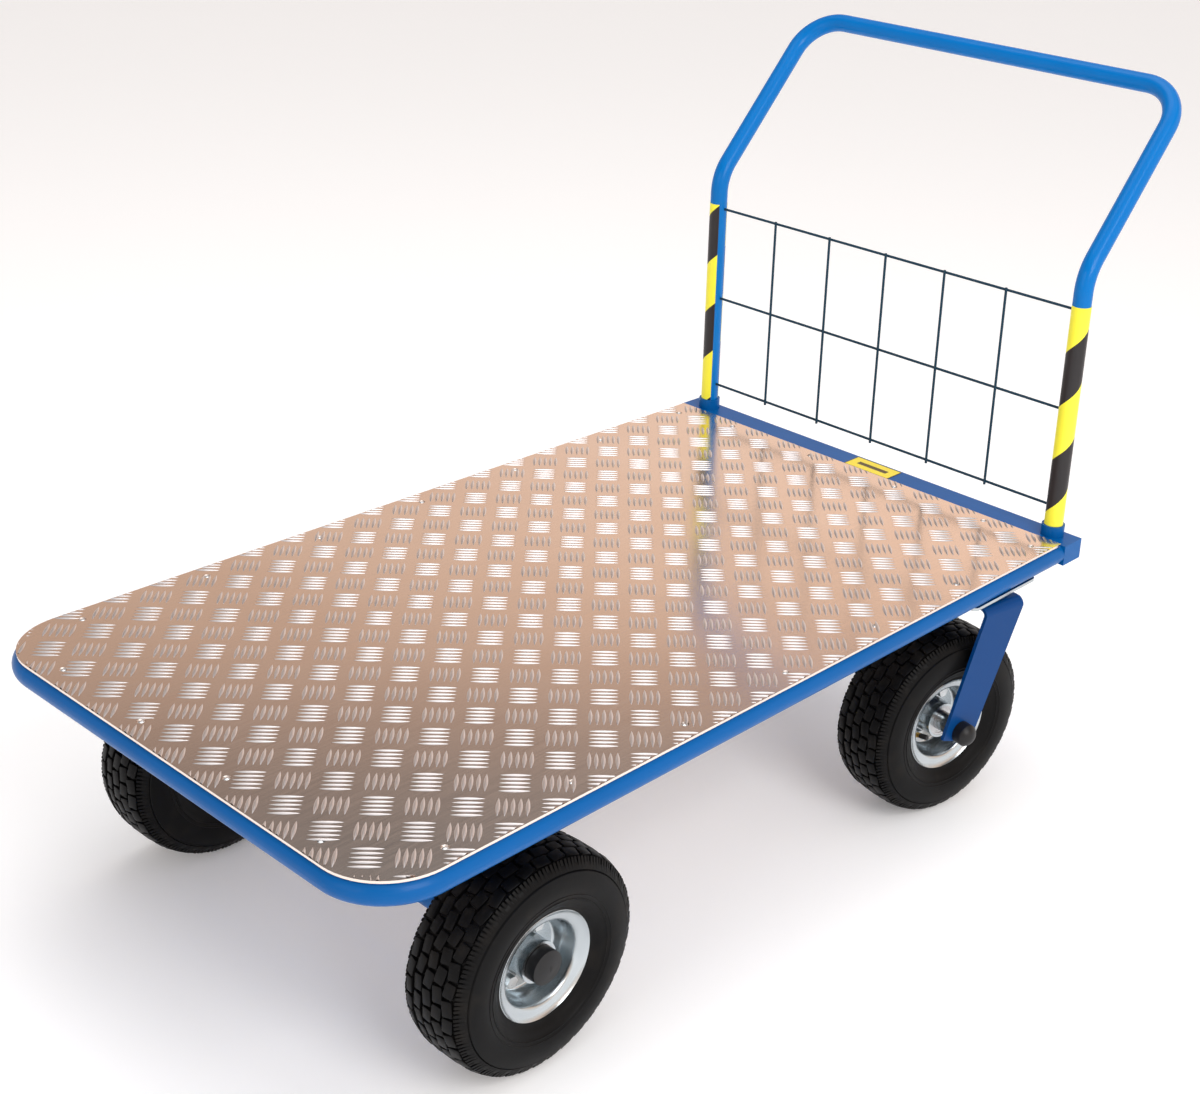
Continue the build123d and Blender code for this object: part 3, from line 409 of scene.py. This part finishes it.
block_rows = (-0.0286, -0.0143, 0.0, 0.0143, 0.0286)
blocks_round = 38
block_width, block_tall, block_sink = 0.0122, 0.006, 0.0026
block_lean = radians(7.5)
block_inset, crown_drop = 0.0009, 0.0018
block = bmesh.new()
bmesh.ops.create_cube(block, size=1.0)
bmesh.ops.bevel(block, geom=block.edges[:], offset=0.08, segments=1, profile=0.5, affect="EDGES", material=-1)
block_mesh = bpy.data.meshes.new("tread_block")
block.to_mesh(block_mesh)
block.free()
for row, row_x in enumerate(block_rows):
    lean = Matrix.Rotation((row - 2) * block_lean, 4, "Y")
    row_radius = tyre_radius - block_inset - crown_drop * abs(row_x / block_rows[-1]) ** 2
    for k in range(blocks_round):
        step = 2 * pi * (k + (row % 2) / 2) / blocks_round
        skew = Matrix.Rotation(radians(9 if (k + row) % 2 else -7), 4, "Z")
        length = 0.0182 if (k + row) % 3 else 0.0166
        placed = block_mesh.copy()
        shape = Matrix.Diagonal((block_width, length, block_tall, 1))
        seat = Matrix.Translation((row_x, 0, row_radius - block_sink))
        placed.transform(Matrix.Rotation(step, 4, "X") @ seat @ lean @ skew @ shape)
        tyre.from_mesh(placed)
        bpy.data.meshes.remove(placed)

ribs_round = 152
rib_x, rib_radius, rib_lean = 0.0398, 0.1192, radians(58)
rib_reach, rib_width = 0.0125, 0.0034
for hand in (1, -1):
    seat = Matrix.Translation((hand * rib_x, 0, rib_radius))
    lean = Matrix.Rotation(hand * rib_lean, 4, "Y")
    for k in range(ribs_round):
        step = 2 * pi * k / ribs_round
        tall = 0.0034 if k % 4 else 0.0022
        placed = block_mesh.copy()
        shape = Matrix.Diagonal((rib_reach, rib_width, tall, 1))
        placed.transform(Matrix.Rotation(step, 4, "X") @ seat @ lean @ shape)
        tyre.from_mesh(placed)
        bpy.data.meshes.remove(placed)
tyre_mesh = bpy.data.meshes.new("tyre_pattern")
tyre.to_mesh(tyre_mesh)
tyre.free()

spin_axes = {joint["child"]: Vector(joint["axis"]) for joint in frame["joints"]}
wheels = ("front_left", "front_right", "rear_left", "rear_right")
for wheel in wheels:
    low, high = (Vector(corner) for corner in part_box(f"tyre_{wheel}"))
    axis = spin_axes[f"wheel_{wheel}"]
    turn = Matrix.Rotation(atan2(axis.y, axis.x), 4, "Z")
    shape = bmesh.new()
    shape.from_mesh(tyre_mesh)
    bmesh.ops.transform(shape, matrix=Matrix.Translation((low + high) / 2) @ turn, verts=shape.verts)
    treaded = keep_mesh(shape, f"treaded_tyre_{wheel}", tyre_rubber)
    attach(treaded, f"wheel_{wheel}")
    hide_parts(f"tyre_{wheel}")

# ---- Rims, bearings and valves
# Two zinc plated pressings are bolted back to back round a welded hub with sealed bearings.
# Each is a bowl: a rolled lip against the tyre, a curved wall and a disc with pressed rings.
# The inner tube's brass valve stem comes through the rim, bends outwards and ends in a cap.
bowl_line = (
    (0.0027, 0.0245),
    (0.0027, 0.0405),
    (0.0034, 0.0424),
    (0.0056, 0.0437),
    (0.0110, 0.0446),
    (0.0180, 0.0460),
    (0.0235, 0.0480),
    (0.0285, 0.0491),
    (0.0312, 0.0500),
    (0.0331, 0.0518),
    (0.0341, 0.0545),
    (0.0347, 0.0580),
    (0.0358, 0.0610),
    (0.0375, 0.0629),
    (0.0384, 0.0639),
    (0.0380, 0.0646),
    (0.0358, 0.0637),
    (0.0338, 0.0615),
    (0.0332, 0.0580),
    (0.0331, 0.0550),
    (0.0321, 0.0526),
    (0.0303, 0.0511),
    (0.0262, 0.0509),
    (0.0200, 0.0486),
    (0.0120, 0.0468),
    (0.0040, 0.0460),
    (0.0003, 0.0440),
    (0.0003, 0.0245),
)
stem_zone_radius, stem_cap_start = 0.046, 0.0225
for wheel in wheels:
    low, high = (Vector(corner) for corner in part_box(f"tyre_{wheel}"))
    axis = spin_axes[f"wheel_{wheel}"]
    turn = Matrix.Translation((low + high) / 2) @ Matrix.Rotation(atan2(axis.y, axis.x), 4, "Z")
    outward_hand = 1 if axis.y * (low + high).y > 0 else -1
    bowl = bmesh.new()
    line = [bowl.verts.new((outward_hand * x, 0, r)) for x, r in bowl_line]
    for start, end in zip(line, line[1:] + line[:1]):
        bowl.edges.new((start, end))
    bmesh.ops.spin(bowl, geom=bowl.verts[:] + bowl.edges[:], steps=96, **full_turn)
    bmesh.ops.remove_doubles(bowl, verts=bowl.verts, dist=0.00001)
    bmesh.ops.recalc_face_normals(bowl, faces=bowl.faces)
    bmesh.ops.transform(bowl, matrix=turn, verts=bowl.verts)
    rim_bowl = keep_mesh(bowl, f"rim_bowl_{wheel}", zinc)
    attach(rim_bowl, f"wheel_{wheel}")
    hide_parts(f"rim_outer_{wheel}")
    coat(zinc, f"rim_inner_{wheel}")
    coat(fastener_zinc, f"rim_bolts_{wheel}")
    coat(ground_steel, f"bearings_{wheel}")
    tube_finish, place = start_finish(f"inner_tube_and_brass_stem_{wheel}")
    to_hub = {"Vector": place, "Location": (low + high) / 2, "Rotation": (0, 0, atan2(axis.y, axis.x))}
    hub_place = add(tube_finish, "ShaderNodeMapping", to_hub, vector_type="TEXTURE")
    hub_axes = add(tube_finish, "ShaderNodeSeparateXYZ", {"Vector": hub_place.outputs["Vector"]})
    flat = add(tube_finish, "ShaderNodeCombineXYZ", {"Y": hub_axes.outputs["Y"], "Z": hub_axes.outputs["Z"]})
    far = add(tube_finish, "ShaderNodeVectorMath", {0: flat.outputs["Vector"]}, operation="LENGTH")
    stem = add(tube_finish, "ShaderNodeMath", {0: far.outputs["Value"], 1: stem_zone_radius}, operation="LESS_THAN")
    out = add(tube_finish, "ShaderNodeMath", {0: hub_axes.outputs["X"]}, operation="ABSOLUTE")
    bare = add(tube_finish, "ShaderNodeMath", {0: out.outputs[0], 1: stem_cap_start}, operation="LESS_THAN")
    brass = add(tube_finish, "ShaderNodeMath", {0: stem.outputs[0], 1: bare.outputs[0]}, operation="MULTIPLY")
    threading = {"Vector": hub_place.outputs["Vector"], "Scale": 300.0}
    thread = add(tube_finish, "ShaderNodeTexWave", threading, bands_direction="X")
    stem_tints = {"Factor": brass.outputs[0], "A": linear("#171617"), "B": linear("#C9A25A")}
    stem_tint = add(tube_finish, "ShaderNodeMix", stem_tints, data_type="RGBA")
    stem_colour = next(s for s in stem_tint.outputs if s.type == "RGBA")
    stem_rough = add(tube_finish, "ShaderNodeMapRange", {"Value": brass.outputs[0], "To Min": 0.5, "To Max": 0.28})
    ridges = {"Height": thread.outputs["Fac"], "Strength": 0.3, "Distance": 0.0004}
    stem_bump = add(tube_finish, "ShaderNodeBump", ridges)
    rough_value, normal = stem_rough.outputs["Result"], stem_bump.outputs["Normal"]
    shade(tube_finish, Base_Color=stem_colour, Metallic=brass.outputs[0], Roughness=rough_value, Normal=normal)
    coat(tube_finish, f"inner_tube_{wheel}")

# ---- Studio
# A plain pale floor and backdrop, with large soft lights on the near side. What the cart
# reflects is a warm room with a dark band a third of the way up and a bright ceiling. That
# room is brighter at the cart's rear left than at its front right.
floor_shape = bmesh.new()
bmesh.ops.create_grid(floor_shape, x_segments=2, y_segments=2, size=30.0)
floor_finish, place = start_finish("pale_floor")
floor_grain = add(floor_finish, "ShaderNodeTexNoise", {"Vector": place, "Scale": 3.0, "Detail": 3.0})
floor_matt = {"Value": floor_grain.outputs["Fac"], "To Min": 0.75, "To Max": 0.9}
floor_rough = add(floor_finish, "ShaderNodeMapRange", floor_matt)
shade(
    floor_finish,
    Base_Color=linear("#FCFCFC"),
    Roughness=floor_rough.outputs["Result"],
    Emission_Color=linear("#F4F8FC"),
    Emission_Strength=0.16,
)
studio_floor = keep_mesh(floor_shape, "studio_floor", floor_finish)

room = bpy.data.worlds.new("soft_room")
bpy.context.scene.world = room
room.use_nodes = True
room.node_tree.nodes.clear()
sky_place = add(room, "ShaderNodeTexCoord").outputs["Generated"]
sky_axes = add(room, "ShaderNodeSeparateXYZ", {"Vector": sky_place})
sky = add(room, "ShaderNodeValToRGB", {"Fac": sky_axes.outputs["Z"]})
stops = (
    (0.0, "#F4F1EF"),
    (0.26, "#FBE8DC"),
    (0.44, "#F2D2BA"),
    (0.495, "#D2AE96"),
    (0.515, "#606266"),
    (0.62, "#60686C"),
    (0.74, "#E4E4E6"),
    (1.0, "#FFFFFF"),
)
while len(sky.color_ramp.elements) < len(stops):
    sky.color_ramp.elements.new(0.5)
for element, (position, colour) in zip(sky.color_ramp.elements, stops):
    element.position = position
    element.color = linear(colour)
sideways = add(room, "ShaderNodeMath", {0: sky_axes.outputs["Y"], 1: sky_axes.outputs["X"]}, operation="SUBTRACT")
dim_side, bright_side, dim_glow, bright_glow = -0.46, 0.36, 0.74, 1.26
across_room = {"Value": sideways.outputs[0], "From Min": dim_side, "From Max": bright_side}
dimming = add(room, "ShaderNodeMapRange", across_room | {"To Min": dim_glow, "To Max": bright_glow})
glow = add(room, "ShaderNodeBackground", {"Color": sky.outputs["Color"], "Strength": dimming.outputs["Result"]})
backdrop = add(room, "ShaderNodeBackground", {"Color": linear("#F6F7F8"), "Strength": 1.0})
seen = add(room, "ShaderNodeLightPath").outputs["Is Camera Ray"]
walls = add(room, "ShaderNodeMixShader", {0: seen, 1: glow.outputs["Background"], 2: backdrop.outputs["Background"]})
add(room, "ShaderNodeOutputWorld", {"Surface": walls.outputs["Shader"]})


def soft_light(name, place, target, size, power, colour):
    """Hang a square soft box at a place and point it at a target."""
    lamp = bpy.data.lights.new(name, "AREA")
    lamp.shape, lamp.size, lamp.energy, lamp.color = "SQUARE", size, power, linear(colour)[:3]
    hung = bpy.data.objects.new(name, lamp)
    hung.location = place
    hung.rotation_euler = (Vector(target) - Vector(place)).to_track_quat("-Z", "Y").to_euler()
    bpy.context.scene.collection.objects.link(hung)


soft_light("key_light", (0.8, 3.2, 2.6), (0, 0, 0.3), 2.0, 70, "#FFFFFF")
soft_light("front_light", (3.6, 0.2, 1.8), (0.2, 0, 0.3), 2.0, 18, "#F6F9FF")
soft_light("top_light", (-0.4, -0.6, 3.6), (0, 0, 0.3), 2.2, 26, "#FFFFFF")

bpy.context.scene.view_settings.view_transform = "Standard"

# ---- Camera
# The cart is seen from in front and to its left, from above, with a slight tilt.
azimuth, height_angle, tilt = radians(40.24), radians(24.07), radians(3.255)
back = Vector((cos(height_angle) * cos(azimuth), cos(height_angle) * sin(azimuth), sin(height_angle)))
right = (-back).cross(Vector((0, 0, 1))).normalized()
up = right.cross(-back)
tilted_right = cos(tilt) * right + sin(tilt) * up
tilted_up = -sin(tilt) * right + cos(tilt) * up
lens = bpy.data.cameras.new("studio_camera")
lens.sensor_fit, lens.sensor_width, lens.lens = "HORIZONTAL", 36.0, 56.67
lens.shift_x, lens.shift_y, lens.clip_end = -0.12, -0.02875, 200.0
camera = bpy.data.objects.new("studio_camera", lens)
stand = Matrix.Translation((1.5608, 1.4972, 1.3800))
camera.matrix_world = stand @ Matrix((tilted_right, tilted_up, back)).transposed().to_4x4()
bpy.context.scene.collection.objects.link(camera)
bpy.context.scene.camera = camera
